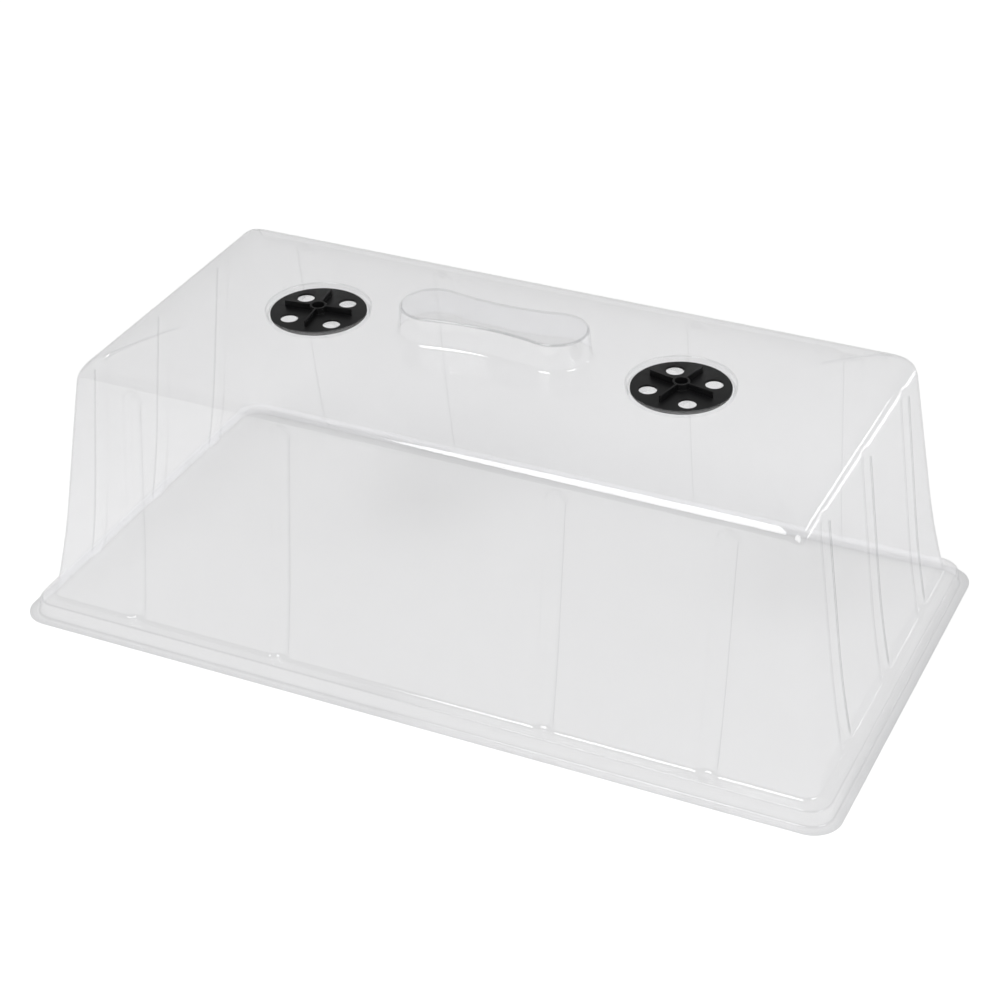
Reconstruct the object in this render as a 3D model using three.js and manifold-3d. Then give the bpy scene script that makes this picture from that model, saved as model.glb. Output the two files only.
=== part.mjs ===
// Clear humidity dome that covers a seed tray, with two black vent dials in its top.
// Millimetres, +Z up. The long axis is X, the flange's underside is z = 0.
import * as THREE from 'three';
import { mergeVertices } from 'three/addons/utils/BufferGeometryUtils.js';
import Module from 'manifold-3d';

// Overall plan and the sheet
const LENGTH = 540;
const WIDTH = 288;
const SHEET = 0.8;
const CORNER_STEPS = 5;

// Rim: flat flange, upright step, level shoulder
const FLANGE_WIDTH = 5.8;
const FLANGE_CORNER_R = 18;
const STEP_CORNER_R = 14;
const STEP_TOP_INSET = 7;
const SHOULDER_Z = 11;

// Walls: straight draft, flared a little near the foot
const WALL_TOP_INSET = 37.6;
const WALL_SLOPE = 0.126;
const WALL_CORNER_R = 9;
const FLARE = 3;
const FLARE_TOP_Z = 76;
const WALL_ROWS_Z = [18, 30, 48, FLARE_TOP_Z];

// Top: rounded edge, crowned border and a level middle
const TOP_Z = 183.4;
const EDGE_CREST_Z = 173.3;
const EDGE_R = 8;
const EDGE_TILT = THREE.MathUtils.degToRad(22);
const TOP_CORNER_R = 20;

// Flutes pressed into the walls
const FLUTE_HALF_WIDTH = 6.5;
const FLUTE_DEPTH = 4.5;
const FLUTE_ARCH = 10;
const LONG_WALL_FLUTES_X = [-190, -88, 88, 190];
const LONG_WALL_FLUTE_TOP_Z = 160;
const SHORT_WALL_FLUTES_Y = [-73.5, 0, 73.5];
const SHORT_WALL_FLUTE_TOP_Z = 165;

// Hand grip: two lobes joined by a narrower waist
const GRIP_TOP_Z = 202;
const GRIP_LOBE_X = 40;
const GRIP_LOBE_R = 20;
const GRIP_WAIST = 15.8;
const GRIP_LOBE_STEPS = 12;
const GRIP_WAIST_STEPS = 4;

// Vent pockets
const VENT_X = 119.8;
const POCKET_R = 32;
const POCKET_FLOOR_R = 31.4;
const POCKET_FLOOR_Z = 178.7;
const VENT_HOLE_R = 5.35;
const VENT_HOLE_CIRCLE_R = 19.6;
const POCKET_HOLE_ANGLE = 42;
const STUD_HOLE_R = 4.3;

// Vent dials
const DIAL_R = 29.9;
const DIAL_BOTTOM_Z = 179;
const DIAL_FACE_Z = 180.5;
const HUB_R = 5.2;
const HUB_BORE_R = 3.9;
const HUB_BORE_FLOOR_Z = 180.2;
const HUB_TOP_Z = 184.6;
const FIN_LENGTH = 22;
const FIN_THICKNESS = 1.2;
const STUD_R = 4;
const STUD_BORE_R = 2.6;
const STUD_BORE_TOP_Z = 178.6;
const BARB_R = 5.2;
const BARB_TOP_Z = 177.6;
const BARB_EDGE_Z = 176.8;
const BARB_TIP_R = 3.6;
const BARB_TIP_Z = 174.6;
const STUD_SLIT = 1.2;
const STUD_SLIT_TOP_Z = 178.2;
const DIAL_ANGLE_LEFT = 52;
const DIAL_ANGLE_RIGHT = 32;

const wasm = await Module();
wasm.setup();

/** Closed solid from a geometry, ready to be joined or cut. */
function toSolid(geometry) {
  geometry.deleteAttribute('normal');
  geometry.deleteAttribute('uv');
  const merged = mergeVertices(geometry, 1e-5);
  return new wasm.Manifold(new wasm.Mesh({
    numProp: 3,
    vertProperties: new Float32Array(merged.attributes.position.array),
    triVerts: new Uint32Array(merged.index.array),
  }));
}

/** Named mesh of a finished solid. */
function toMesh(solid, name, material) {
  const mesh = solid.getMesh();
  const geometry = new THREE.BufferGeometry();
  geometry.setAttribute('position', new THREE.BufferAttribute(mesh.vertProperties, 3));
  geometry.setIndex(new THREE.BufferAttribute(mesh.triVerts, 1));
  geometry.computeVertexNormals();
  const result = new THREE.Mesh(geometry, material);
  result.name = name;
  return result;
}

/** Solid through rings of equally many points, listed from the bottom up, anticlockwise. */
function loft(rings) {
  const count = rings[0].length;
  const index = [];
  for (let row = 0; row + 1 < rings.length; row += 1) {
    for (let i = 0; i < count; i += 1) {
      const a = row * count + i;
      const b = row * count + ((i + 1) % count);
      index.push(a, b, b + count, a, b + count, a + count);
    }
  }
  const last = (rings.length - 1) * count;
  const flat = (ring) => ring.map(([x, y]) => new THREE.Vector2(x, y));
  const bottom = THREE.ShapeUtils.triangulateShape(flat(rings[0]), []);
  const top = THREE.ShapeUtils.triangulateShape(flat(rings.at(-1)), []);
  bottom.forEach(([a, b, c]) => index.push(a, c, b));
  top.forEach(([a, b, c]) => index.push(last + a, last + b, last + c));
  const geometry = new THREE.BufferGeometry();
  geometry.setAttribute('position', new THREE.Float32BufferAttribute(rings.flat(2), 3));
  geometry.setIndex(index);
  return toSolid(geometry);
}

/** Upright cylinder or cone between two heights. */
function drum(x, y, bottomR, topR, bottomZ, topZ, steps) {
  const geometry = new THREE.CylinderGeometry(topR, bottomR, topZ - bottomZ, steps);
  geometry.rotateX(Math.PI / 2);
  geometry.translate(x, y, (bottomZ + topZ) / 2);
  return toSolid(geometry);
}

/** Upright slab through the dial's axis: length along the angle, centred on the axis. */
function slab(x, angle, length, thickness, bottomZ, topZ) {
  const geometry = new THREE.BoxGeometry(length, thickness, topZ - bottomZ);
  geometry.rotateZ(THREE.MathUtils.degToRad(angle));
  geometry.translate(x, 0, (bottomZ + topZ) / 2);
  return toSolid(geometry);
}

/** Four round holes on the vent circle. */
function ventHoles(x, angle, bottomZ, topZ) {
  const holes = [0, 90, 180, 270].map((turn) => {
    const t = THREE.MathUtils.degToRad(angle + turn);
    const cx = x + VENT_HOLE_CIRCLE_R * Math.cos(t);
    const cy = VENT_HOLE_CIRCLE_R * Math.sin(t);
    return drum(cx, cy, VENT_HOLE_R, VENT_HOLE_R, bottomZ, topZ, 20);
  });
  return holes.reduce((all, hole) => all.add(hole));
}

/** The same profile moved to its right-hand side by the sheet's thickness. */
function offsetProfile(points, distance) {
  const normals = points.slice(1).map(([a, z], i) => {
    const length = Math.hypot(a - points[i][0], z - points[i][1]);
    return [(z - points[i][1]) / length, (points[i][0] - a) / length];
  });
  return points.map(([a, z], i) => {
    const before = normals[Math.max(i - 1, 0)];
    const after = normals[Math.min(i, normals.length - 1)];
    const scale = distance / (1 + before[0] * after[0] + before[1] * after[1]);
    return [a + scale * (before[0] + after[0]), z + scale * (before[1] + after[1])];
  });
}

/** Inset of the outer wall face at a height. */
function wallInset(z) {
  const low = Math.max(0, (FLARE_TOP_Z - z) / (FLARE_TOP_Z - SHOULDER_Z));
  return WALL_TOP_INSET - WALL_SLOPE * (WALL_TOP_Z - z) - FLARE * low * low;
}

/** Ring of a rounded rectangle, inset from the flange's edge. */
function roundedRing(inset, z, cornerR) {
  const cx = LENGTH / 2 - inset - cornerR;
  const cy = WIDTH / 2 - inset - cornerR;
  const corners = [[cx, cy], [-cx, cy], [-cx, -cy], [cx, -cy]];
  return corners.flatMap(([x, y], quarter) => {
    return Array.from({ length: CORNER_STEPS + 1 }, (_, i) => {
      const t = (quarter + i / CORNER_STEPS) * Math.PI / 2;
      return [x + cornerR * Math.cos(t), y + cornerR * Math.sin(t), z];
    });
  });
}

/** Ring of the grip's outline, grown outwards by a margin. */
function gripRing(margin, z) {
  const lobeR = GRIP_LOBE_R + margin;
  const hollowR = WAIST_ARC_R - margin;
  const reach = Math.atan2(GRIP_WAIST + WAIST_ARC_R, -GRIP_LOBE_X);
  const half = Array.from({ length: GRIP_LOBE_STEPS + 1 }, (_, i) => {
    const t = reach * (2 * i / GRIP_LOBE_STEPS - 1);
    return [GRIP_LOBE_X + lobeR * Math.cos(t), lobeR * Math.sin(t), z];
  });
  for (let i = 1; i < GRIP_WAIST_STEPS; i += 1) {
    const t = (reach - Math.PI / 2) * (1 - 2 * i / GRIP_WAIST_STEPS);
    half.push([hollowR * Math.sin(t), GRIP_WAIST + WAIST_ARC_R - hollowR * Math.cos(t), z]);
  }
  return [...half, ...half.map(([x, y]) => [-x, -y, z])];
}

/** Cutter of one flute: a trapezium that follows the wall and ends in an arch. */
function flute(place, halfWidth, depth, bottomZ, topZ) {
  const archZ = topZ - FLUTE_ARCH;
  const rows = [bottomZ, ...WALL_ROWS_Z, archZ, archZ + 5, archZ + 8.4, topZ - 0.2];
  return loft(rows.map((z) => {
    const size = Math.sqrt(1 - Math.max(0, (z - archZ) / FLUTE_ARCH) ** 2);
    const wide = halfWidth * size;
    const deep = depth * size;
    const section = [[-wide - 0.9, -2], [wide + 0.9, -2], [wide * 0.72, deep * 0.8],
      [wide * 0.5, deep], [-wide * 0.5, deep], [-wide * 0.72, deep * 0.8]];
    return section.map(([u, inward]) => [...place(u, wallInset(z) + inward), z]);
  }));
}

/** All flutes of the four walls, each grown by a margin. */
function allFlutes(margin) {
  const wide = FLUTE_HALF_WIDTH + margin;
  const deep = FLUTE_DEPTH + margin;
  const bottomZ = SHOULDER_Z - margin;
  const cutters = [1, -1].flatMap((side) => {
    const long = LONG_WALL_FLUTES_X.map((x) => {
      const place = (u, inset) => [x - side * u, side * (WIDTH / 2 - inset)];
      return flute(place, wide, deep, bottomZ, LONG_WALL_FLUTE_TOP_Z + margin);
    });
    const short = SHORT_WALL_FLUTES_Y.map((y) => {
      const place = (u, inset) => [side * (LENGTH / 2 - inset), y + side * u];
      return flute(place, wide, deep, bottomZ, SHORT_WALL_FLUTE_TOP_Z + margin);
    });
    return [...long, ...short];
  });
  return cutters.reduce((all, cutter) => all.add(cutter));
}

/** Points of a round edge in the profile, from one tilt of its surface to another. */
function profileArc(centreInset, centreZ, radius, fromTilt, toTilt, steps) {
  return Array.from({ length: steps + 1 }, (_, i) => {
    const tilt = fromTilt + (toTilt - fromTilt) * i / steps;
    return [centreInset - radius * Math.sin(tilt), centreZ + radius * Math.cos(tilt)];
  });
}

const WALL_TILT = Math.atan(1 / WALL_SLOPE);
const EDGE_CENTRE_Z = EDGE_CREST_Z - EDGE_R;
const EDGE_CENTRE_INSET = WALL_TOP_INSET + EDGE_R * Math.sin(WALL_TILT);
const WALL_TOP_Z = EDGE_CENTRE_Z + EDGE_R * Math.cos(WALL_TILT);
const CROWN_START_Z = EDGE_CENTRE_Z + EDGE_R * Math.cos(EDGE_TILT);
const CROWN_START_INSET = EDGE_CENTRE_INSET - EDGE_R * Math.sin(EDGE_TILT);
const CROWN_R = (TOP_Z - CROWN_START_Z) / (1 - Math.cos(EDGE_TILT));
const CROWN_CENTRE_INSET = EDGE_CENTRE_INSET + (CROWN_R - EDGE_R) * Math.sin(EDGE_TILT);
const WAIST_ARC_R = (GRIP_LOBE_X ** 2 + GRIP_WAIST ** 2 - GRIP_LOBE_R ** 2)
  / (2 * (GRIP_LOBE_R - GRIP_WAIST));

// Outer face of the sheet from the foot of the step to the level top
const sheetProfile = [
  [FLANGE_WIDTH, SHEET],
  [STEP_TOP_INSET, SHOULDER_Z],
  [wallInset(SHOULDER_Z), SHOULDER_Z],
  ...WALL_ROWS_Z.map((z) => [wallInset(z), z]),
  ...profileArc(EDGE_CENTRE_INSET, EDGE_CENTRE_Z, EDGE_R, WALL_TILT, EDGE_TILT, 5),
  ...profileArc(CROWN_CENTRE_INSET, TOP_Z - CROWN_R, CROWN_R, EDGE_TILT, 0, 4).slice(1),
  [CROWN_CENTRE_INSET + 8, TOP_Z],
];

/** Plan radius of the outer sheet face's corners at an inset. */
function sheetCornerR(inset) {
  if (inset <= STEP_TOP_INSET) {
    return STEP_CORNER_R;
  }
  const edge = THREE.MathUtils.clamp(inset, WALL_TOP_INSET, CROWN_START_INSET) - WALL_TOP_INSET;
  const crown = THREE.MathUtils.clamp(inset, CROWN_START_INSET, CROWN_CENTRE_INSET) - CROWN_START_INSET;
  const ramp = crown / (CROWN_CENTRE_INSET - CROWN_START_INSET);
  return THREE.MathUtils.lerp(WALL_CORNER_R - edge, TOP_CORNER_R, ramp);
}

// Outer face of the grip as margin and height, from inside the top sheet upwards
const gripProfile = [
  [6, 178],
  [4.6, TOP_Z],
  [2.6, TOP_Z + 0.6],
  [1.7, TOP_Z + 2.4],
  [0.5, GRIP_TOP_Z - 2.4],
  [-0.3, GRIP_TOP_Z - 0.6],
  [-1.8, GRIP_TOP_Z],
];

/** The clear sheet: everything inside its outer face, less everything inside its inner face. */
function buildDome() {
  const outer = [
    roundedRing(0, 0, FLANGE_CORNER_R),
    roundedRing(0, SHEET, FLANGE_CORNER_R),
    ...sheetProfile.map(([inset, z]) => roundedRing(inset, z, sheetCornerR(inset))),
  ];
  const innerProfile = offsetProfile(sheetProfile, SHEET);
  const inner = innerProfile.map(([inset, z], row) => {
    const [outerInset] = sheetProfile[row];
    return roundedRing(inset, z, sheetCornerR(outerInset) - (inset - outerInset));
  });
  const mouth = roundedRing(innerProfile[0][0], -1, STEP_CORNER_R - SHEET);
  const innerGrip = offsetProfile(gripProfile.map(([margin, z]) => [-margin, z]), SHEET);
  let skin = loft(outer).subtract(allFlutes(0));
  let room = loft([mouth, ...inner]).subtract(allFlutes(SHEET));
  skin = skin.add(loft(gripProfile.map(([margin, z]) => gripRing(margin, z))));
  room = room.add(loft(innerGrip.map(([margin, z]) => gripRing(-margin, z))));
  [-VENT_X, VENT_X].forEach((x) => {
    skin = skin.subtract(drum(x, 0, POCKET_FLOOR_R, POCKET_R, POCKET_FLOOR_Z, TOP_Z + 0.5, 48));
    const cup = drum(x, 0, POCKET_FLOOR_R + SHEET, POCKET_R + SHEET, POCKET_FLOOR_Z - SHEET, TOP_Z, 48);
    room = room.subtract(cup);
  });
  let dome = skin.subtract(room);
  [-VENT_X, VENT_X].forEach((x) => {
    const studHole = drum(x, 0, STUD_HOLE_R, STUD_HOLE_R, POCKET_FLOOR_Z - 3, POCKET_FLOOR_Z + 2, 24);
    dome = dome.subtract(ventHoles(x, POCKET_HOLE_ANGLE, POCKET_FLOOR_Z - 3, POCKET_FLOOR_Z + 2));
    dome = dome.subtract(studHole);
  });
  return dome;
}

/** One vent dial: perforated disc, hollow hub, crossed fins and a split snap stud below. */
function buildDial(x, holeAngle) {
  let dial = drum(x, 0, DIAL_R, DIAL_R, DIAL_BOTTOM_Z, DIAL_FACE_Z, 48);
  dial = dial.add(drum(x, 0, HUB_R, HUB_R, DIAL_BOTTOM_Z, HUB_TOP_Z, 24));
  [45, 135].forEach((turn) => {
    const fin = slab(x, holeAngle + turn, 2 * FIN_LENGTH, FIN_THICKNESS, DIAL_BOTTOM_Z, HUB_TOP_Z);
    dial = dial.add(fin);
  });
  dial = dial.subtract(ventHoles(x, holeAngle, DIAL_BOTTOM_Z - 1, DIAL_FACE_Z + 1));
  dial = dial.subtract(drum(x, 0, HUB_BORE_R, HUB_BORE_R, HUB_BORE_FLOOR_Z, HUB_TOP_Z + 1, 24));
  let stud = drum(x, 0, STUD_R, STUD_R, BARB_TOP_Z - 0.2, DIAL_FACE_Z - 0.4, 24);
  stud = stud.add(drum(x, 0, BARB_R, BARB_R, BARB_EDGE_Z, BARB_TOP_Z, 24));
  stud = stud.add(drum(x, 0, BARB_TIP_R, BARB_R, BARB_TIP_Z, BARB_EDGE_Z, 24));
  stud = stud.subtract(drum(x, 0, STUD_BORE_R, STUD_BORE_R, BARB_TIP_Z - 1, STUD_BORE_TOP_Z, 24));
  [0, 90].forEach((turn) => {
    const slit = slab(x, holeAngle + turn, 4 * BARB_R, STUD_SLIT, BARB_TIP_Z - 1, STUD_SLIT_TOP_Z);
    stud = stud.subtract(slit);
  });
  return dial.add(stud);
}

/** Black moulded plastic of a vent dial. */
function dialPlastic() {
  return new THREE.MeshStandardMaterial({ color: 0x1d1d1e, roughness: 0.42, metalness: 0 });
}

const clearPlastic = new THREE.MeshStandardMaterial({ color: 0xdfe2e5, roughness: 0.08, metalness: 0 });

const group = new THREE.Group();
group.add(
  toMesh(buildDome(), 'dome', clearPlastic),
  toMesh(buildDial(-VENT_X, DIAL_ANGLE_LEFT), 'vent_dial_left', dialPlastic()),
  toMesh(buildDial(VENT_X, DIAL_ANGLE_RIGHT), 'vent_dial_right', dialPlastic()),
);

export default group;
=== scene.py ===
"""Clear humidity dome for a seed tray, with two black vent dials, in a pale studio."""

import logging
import math
from collections.abc import Callable, Sequence
from dataclasses import dataclass, field
from enum import Enum
from typing import Any

import bpy
import numpy as np
from bpy.types import Material, MeshEdge, Node, NodeSocket, NodeTree, Object
from mathutils import Matrix, Vector


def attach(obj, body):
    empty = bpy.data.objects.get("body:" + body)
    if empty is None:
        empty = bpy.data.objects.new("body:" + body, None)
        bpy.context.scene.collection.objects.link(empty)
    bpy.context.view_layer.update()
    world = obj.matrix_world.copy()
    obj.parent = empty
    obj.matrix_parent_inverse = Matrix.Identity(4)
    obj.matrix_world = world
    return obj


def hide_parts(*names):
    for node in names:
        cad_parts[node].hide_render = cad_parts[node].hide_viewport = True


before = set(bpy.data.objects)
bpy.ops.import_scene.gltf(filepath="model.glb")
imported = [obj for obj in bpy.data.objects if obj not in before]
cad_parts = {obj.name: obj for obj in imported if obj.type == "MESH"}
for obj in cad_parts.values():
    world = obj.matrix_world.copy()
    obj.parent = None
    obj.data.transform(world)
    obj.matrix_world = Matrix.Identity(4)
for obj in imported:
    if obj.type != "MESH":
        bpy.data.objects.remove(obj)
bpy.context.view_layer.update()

LOG = logging.getLogger("humidity_dome")
MM = 0.001
# Name of the mesh attribute that holds the sheet's painted shade.
BEND_SHADE_ATTRIBUTE = "bend"
MERGE_DISTANCE = 1e-6
SLIVER_WIDTH = 1e-5
PLANE_TOLERANCE = 1e-5
LEVEL_NORMAL = 0.9
GENTLE_BEND = 0.25
SMALLEST_GAP = 0.2 * MM
QUARTER_TURN = 90.0
HALF_A_FACE = 0.5
VENT_X = 119.8
VENT_HOLE_R = 5.35
VENT_CIRCLE_R = 19.6
Triple = tuple[float, float, float]
Colour = tuple[float, float, float, float]
WHITE: Colour = (1.0, 1.0, 1.0, 1.0)


class Select(Enum):
    """What an edit-mode selection picks."""

    EDGE = "EDGE"
    FACE = "FACE"


class Side(Enum):
    """The two vents, named as they lie in the photograph."""

    LEFT = -1
    RIGHT = 1


# Shader boards


class Wire:
    """One output of a shader node, with arithmetic that adds Math nodes."""

    def __init__(self, board: "Board", socket: NodeSocket) -> None:
        """Keeps the board and the socket."""
        self.board = board
        self.socket = socket

    def _math(self, operation: str, first: Any, second: Any) -> "Wire":
        """Adds a Math node on two wires or numbers, and gives its result."""
        node = self.board.node("ShaderNodeMath", {"operation": operation}, {0: first, 1: second})
        return Wire(self.board, node.outputs[0])

    def __add__(self, other: Any) -> "Wire":
        """Sum with a wire or number."""
        return self._math("ADD", self, other)

    __radd__ = __add__

    def __mul__(self, other: Any) -> "Wire":
        """Product with a wire or number."""
        return self._math("MULTIPLY", self, other)

    __rmul__ = __mul__

    def __sub__(self, other: Any) -> "Wire":
        """Difference from a wire or number."""
        return self._math("SUBTRACT", self, other)

    def __rsub__(self, other: Any) -> "Wire":
        """A number less this wire."""
        return self._math("SUBTRACT", other, self)

    def __pow__(self, other: Any) -> "Wire":
        """This wire to a power."""
        return self._math("POWER", self, other)


class Board:
    """The node tree of one material or of the world."""

    def __init__(self, tree: NodeTree) -> None:
        """Empties the tree and keeps it."""
        self.tree = tree
        tree.nodes.clear()

    def node(self, kind: str, settings: dict[str, Any] | None = None,
             inputs: dict[Any, Any] | None = None) -> Node:
        """Adds a node.

        Args:
            kind: The node's Blender type.
            settings: Properties set before the sockets. "stops" fills a colour ramp.
            inputs: Socket name or number to a value, a socket or a wire.

        Returns:
            The new node.
        """
        node = self.tree.nodes.new(kind)
        for name, value in (settings or {}).items():
            if name == "stops":
                self._fill_ramp(node, value)
            else:
                setattr(node, name, value)
        for name, value in (inputs or {}).items():
            source = value.socket if isinstance(value, Wire) else value
            if isinstance(source, NodeSocket):
                self.tree.links.new(source, node.inputs[name])
            else:
                node.inputs[name].default_value = source
        return node

    def wire(self, kind: str, settings: dict[str, Any] | None = None,
             inputs: dict[Any, Any] | None = None, output: str | int = 0) -> Wire:
        """Adds a node as the method node does, and gives one of its outputs as a wire."""
        return Wire(self, self.node(kind, settings, inputs).outputs[output])

    @staticmethod
    def _fill_ramp(node: Node, stops: Sequence[tuple[float, float]]) -> None:
        """Sets the stops of a colour ramp.

        Args:
            node: The Color Ramp node.
            stops: Place and grey level of each stop.
        """
        elements = node.color_ramp.elements
        while len(elements) < len(stops):
            elements.new(1.0)
        for element, (place, level) in zip(elements, stops):
            element.position = place
            element.color = (level, level, level, 1.0)


def new_material(name: str) -> tuple[Material, Board]:
    """Makes an empty node material.

    Args:
        name: The material's name.

    Returns:
        The material and its board.
    """
    material = bpy.data.materials.new(name)
    material.use_nodes = True
    return material, Board(material.node_tree)


def before_sheet(board: Board, path: Node) -> Wire:
    """One for a ray that has crossed no face of the sheet yet, and zero for any other."""
    return board.wire("ShaderNodeMath", {"operation": "LESS_THAN"}, {
        0: path.outputs["Transparent Depth"], 1: HALF_A_FACE})


# Finishes


@dataclass(frozen=True)
class ClearSheet:
    """Thermoformed clear plastic: glossy, with painted shade where it bends and where it is seen
    edge-on, standing in for the darkening that bent and edge-on sheet shows by turning light aside.
    """

    tint: Colour = (0.993, 0.993, 0.995, 1.0)
    # edge_shade_tint, bend_shade_share and the edge_on_shade sizes paint shade: a darker
    # see-through tint mixed in at marked bends and where the sheet is seen edge-on.
    edge_shade_tint: Colour = (0.5, 0.505, 0.515, 1.0)
    haze_colour: Colour = (0.78, 0.785, 0.79, 1.0)
    haze: float = 0.012
    haze_everywhere: float = 0.5
    mirror_head_on: float = 0.05
    mirror_grazing: float = 0.22
    mirror_power: float = 5.0
    bend_shade_share: float = 0.36
    edge_on_shade_share: float = 0.9
    edge_on_shade_power: float = 22.0
    roughness: float = 0.045
    roughness_spread: float = 0.03
    ripple_scale: float = 9.0
    ripple_detail: float = 1.0
    ripple_depth: float = 0.0008
    ripple_strength: float = 0.6
    mottle_scale: float = 45.0
    mottle_detail: float = 3.0
    mottle_contrast: float = 0.6

    def material(self) -> Material:
        """Builds the finish.

        Returns:
            The material.
        """
        material, board = new_material("clear_sheet")
        place = board.wire("ShaderNodeTexCoord", output="Object")
        ripple = board.wire("ShaderNodeTexNoise", inputs={
            "Vector": place, "Scale": self.ripple_scale, "Detail": self.ripple_detail})
        mottle = board.wire("ShaderNodeTexNoise", inputs={
            "Vector": place, "Scale": self.mottle_scale, "Detail": self.mottle_detail,
            "Roughness": self.mottle_contrast})
        bump = board.wire("ShaderNodeBump", inputs={
            "Height": ripple, "Distance": self.ripple_depth, "Strength": self.ripple_strength})
        facing = board.wire("ShaderNodeLayerWeight", inputs={"Blend": 0.5}, output="Facing")
        # Painted shade stored on the mesh at bends, at flute edges and on the grip's top.
        bend = board.wire("ShaderNodeAttribute", {"attribute_name": BEND_SHADE_ATTRIBUTE}, output="Fac")
        grazing = facing ** self.mirror_power
        mirror = grazing * (self.mirror_grazing - self.mirror_head_on) + self.mirror_head_on
        haze = mottle * self.haze + self.haze * self.haze_everywhere
        # Painted shade: the see-through tint turns darker with the stored shade and where the sheet
        # is seen edge-on.
        dark = bend * self.bend_shade_share + facing ** self.edge_on_shade_power * self.edge_on_shade_share
        clear = board.node("ShaderNodeBsdfTransparent", inputs={"Color": self.tint})
        edge = board.node("ShaderNodeBsdfTransparent", inputs={"Color": self.edge_shade_tint})
        veil = board.node("ShaderNodeBsdfDiffuse", inputs={"Color": self.haze_colour})
        gloss = board.node("ShaderNodeBsdfGlossy", inputs={
            "Roughness": mottle * self.roughness_spread + self.roughness, "Normal": bump})
        through = board.node("ShaderNodeMixShader", inputs={
            0: dark, 1: clear.outputs[0], 2: edge.outputs[0]})
        sheet = board.node("ShaderNodeMixShader", inputs={
            0: haze, 1: through.outputs[0], 2: veil.outputs[0]})
        surface = board.node("ShaderNodeMixShader", inputs={
            0: mirror, 1: sheet.outputs[0], 2: gloss.outputs[0]})
        board.node("ShaderNodeOutputMaterial", inputs={"Surface": surface.outputs[0]})
        return material


@dataclass(frozen=True)
class BlackPlastic:
    """Injection-moulded black plastic: semi-gloss, with a fine mould grain."""

    dark: Colour = (0.0035, 0.0035, 0.0037, 1.0)
    light: Colour = (0.0065, 0.0065, 0.0068, 1.0)
    roughness: float = 0.34
    roughness_spread: float = 0.16
    gloss: float = 0.13
    cloud_scale: float = 130.0
    cloud_detail: float = 5.0
    grain_scale: float = 1500.0
    grain_detail: float = 2.0
    grain_depth: float = 0.00006
    grain_strength: float = 0.5

    def material(self) -> Material:
        """Builds the finish.

        Returns:
            The material.
        """
        material, board = new_material("black_plastic")
        place = board.wire("ShaderNodeTexCoord", output="Object")
        cloud = board.wire("ShaderNodeTexNoise", inputs={
            "Vector": place, "Scale": self.cloud_scale, "Detail": self.cloud_detail})
        grain = board.wire("ShaderNodeTexNoise", inputs={
            "Vector": place, "Scale": self.grain_scale, "Detail": self.grain_detail})
        colour = board.wire("ShaderNodeMix", {"data_type": "RGBA"}, {
            "Factor": cloud, 6: self.dark, 7: self.light}, output=2)
        bump = board.wire("ShaderNodeBump", inputs={
            "Height": grain, "Distance": self.grain_depth, "Strength": self.grain_strength})
        surface = board.node("ShaderNodeBsdfPrincipled", inputs={
            "Base Color": colour, "Normal": bump, "Specular IOR Level": self.gloss,
            "Roughness": cloud * self.roughness_spread + self.roughness})
        board.node("ShaderNodeOutputMaterial", inputs={"Surface": surface.outputs[0]})
        return material


@dataclass(frozen=True)
class PaleFloor:
    """White studio floor that keeps a soft shadow near the object and stays white far from it;
    where it is seen through the sheet it glows with painted light that grows with each sheet face
    crossed, more under the dome.
    """

    colour: Colour = (0.79, 0.79, 0.79, 1.0)
    near_m: float = 0.4
    far_m: float = 1.4
    lift_near: float = 0.36
    lift_far: float = 0.62
    under_m: float = 0.25
    painted_glow_per_face_under: float = 0.046
    painted_glow_per_face_outside: float = 0.034

    def material(self) -> Material:
        """Builds the finish.

        Returns:
            The material.
        """
        material, board = new_material("pale_floor")
        path = board.node("ShaderNodeLightPath")
        bare = before_sheet(board, path)
        seen = (Wire(board, path.outputs["Is Camera Ray"]) + path.outputs["Is Glossy Ray"]
                + path.outputs["Is Transmission Ray"])
        place = board.wire("ShaderNodeTexCoord", output="Object")
        away = board.wire("ShaderNodeVectorMath", {"operation": "LENGTH"}, {0: place},
                          output="Value")
        open_floor = board.wire("ShaderNodeMapRange", inputs={
            "Value": away, 1: self.near_m, 2: self.far_m, 3: self.lift_near, 4: self.lift_far})
        # Painted light: the floor seen through the sheet glows more with each sheet face the ray
        # has crossed, most under the dome.
        glow_per_face_crossed = board.wire("ShaderNodeMapRange", inputs={
            "Value": away, 1: self.under_m, 2: self.near_m,
            3: self.painted_glow_per_face_under, 4: self.painted_glow_per_face_outside})
        lift_and_painted_glow = bare * open_floor + glow_per_face_crossed * path.outputs["Transparent Depth"]
        matt = board.node("ShaderNodeBsdfDiffuse", inputs={"Color": self.colour})
        glow = board.node("ShaderNodeEmission", inputs={"Strength": seen * lift_and_painted_glow})
        both = board.node("ShaderNodeAddShader", inputs={0: matt.outputs[0], 1: glow.outputs[0]})
        board.node("ShaderNodeOutputMaterial", inputs={"Surface": both.outputs[0]})
        return material


# Modelling helpers


def deselect_all() -> None:
    """Goes back to object mode with nothing selected."""
    if bpy.context.object and bpy.context.object.mode != "OBJECT":
        bpy.ops.object.mode_set(mode="OBJECT")
    bpy.ops.object.select_all(action="DESELECT")


def activate(piece: Object) -> None:
    """Makes a piece the only selected and the active object.

    Args:
        piece: The object.
    """
    deselect_all()
    piece.select_set(True)
    bpy.context.view_layer.objects.active = piece


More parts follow.
